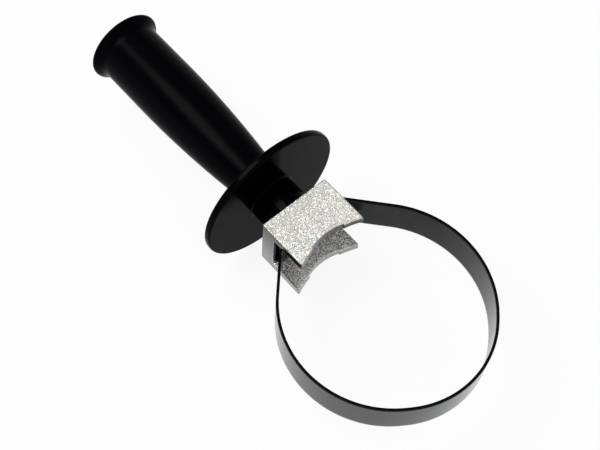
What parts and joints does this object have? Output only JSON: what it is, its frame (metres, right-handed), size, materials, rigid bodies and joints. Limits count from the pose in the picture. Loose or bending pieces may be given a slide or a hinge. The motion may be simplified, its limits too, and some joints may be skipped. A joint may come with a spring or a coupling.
{
  "type": "power tool side handle",
  "caption": "Band-clamp side handle: a moulded grip with a round guard screws on a bolt that draws a steel band into a cast saddle bracket.",
  "frame": {"origin": "centre of the clamped collar, half way up the band", "axes": "+Z along the collar, the handle points along -X, +Y to the left seen from the handle"},
  "size_m": [0.2672, 0.1089, 0.0832],
  "materials": {
    "cast_bracket": "coarse blasted casting, bright, with smooth cut faces",
    "spring_steel_band": "dark rolled spring steel strip",
    "zinc_plated_steel": "zinc plated",
    "black_moulding": "semi-gloss black nylon moulding"
  },
  "bodies": {
    "bracket": {"saddle_bracket": "cast_bracket"},
    "handle": {"handle_moulding": "black_moulding", "threaded_insert": "zinc_plated_steel"},
    "band": {"clamp_band": "spring_steel_band", "clamp_bolt": "zinc_plated_steel"}
  },
  "joints": [
    {"name": "handle_turn", "type": "hinge", "parent": "bracket", "child": "handle", "pos_m": [-0.0745, 0, 0], "axis": [-1, 0, 0], "range_deg": [0, 2160]},
    {"name": "band_slide", "type": "slide", "parent": "bracket", "child": "band", "axis": [1, 0, 0], "range_m": [0, 0.0075]}
  ],
  "couplings": [
    {"joint": "band_slide", "follows": "handle_turn", "m_per_rad": 0.00019894}
  ]
}
